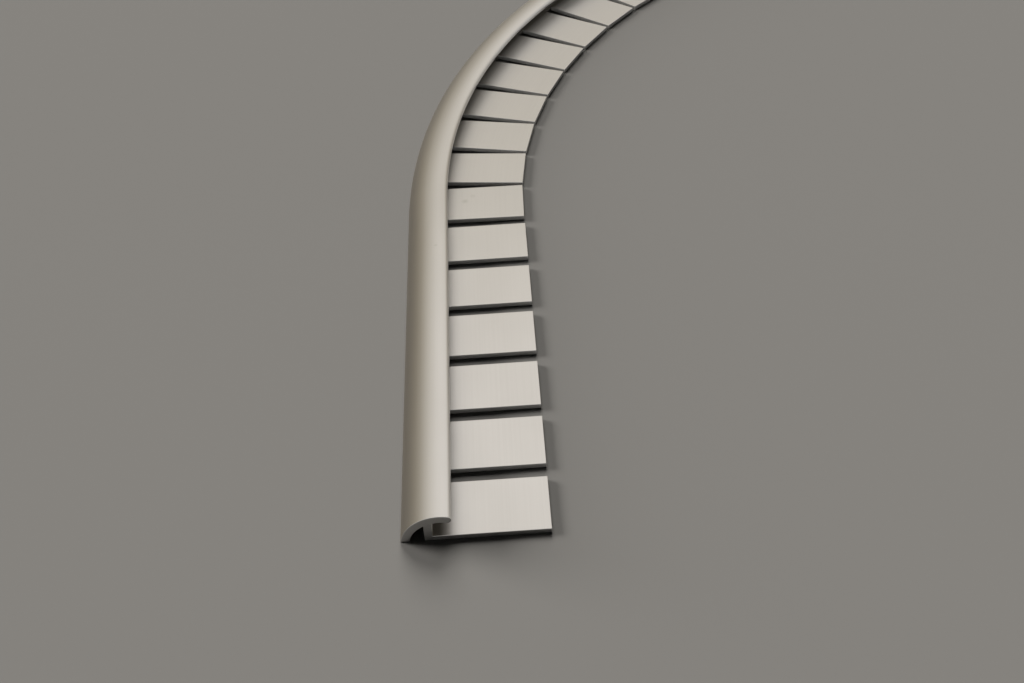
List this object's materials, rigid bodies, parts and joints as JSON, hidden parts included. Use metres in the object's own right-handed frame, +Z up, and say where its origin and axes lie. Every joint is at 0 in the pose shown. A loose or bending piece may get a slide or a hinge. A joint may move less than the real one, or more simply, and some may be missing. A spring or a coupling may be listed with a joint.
{
  "type": "bendable floor edge trim",
  "caption": "Bendable aluminium edge trim for floor coverings: an arched head with a lip over a groove, and a flange sawn into tabs so that the bar follows a curve.",
  "frame": {"origin": "on the floor, on the bending line in the middle of the leg, at the square cut end of the shorter straight run", "axes": "+Y along the shorter straight run away from its cut end, +X towards the flange's free ends and along the longer straight run, +Z up from the floor"},
  "size_m": [0.7656, 0.3356, 0.008],
  "materials": {
    "aluminium": "satin, with fine extrusion lines"
  },
  "bodies": {
    "root": {"trim_profile": "aluminium"}
  },
  "joints": []
}
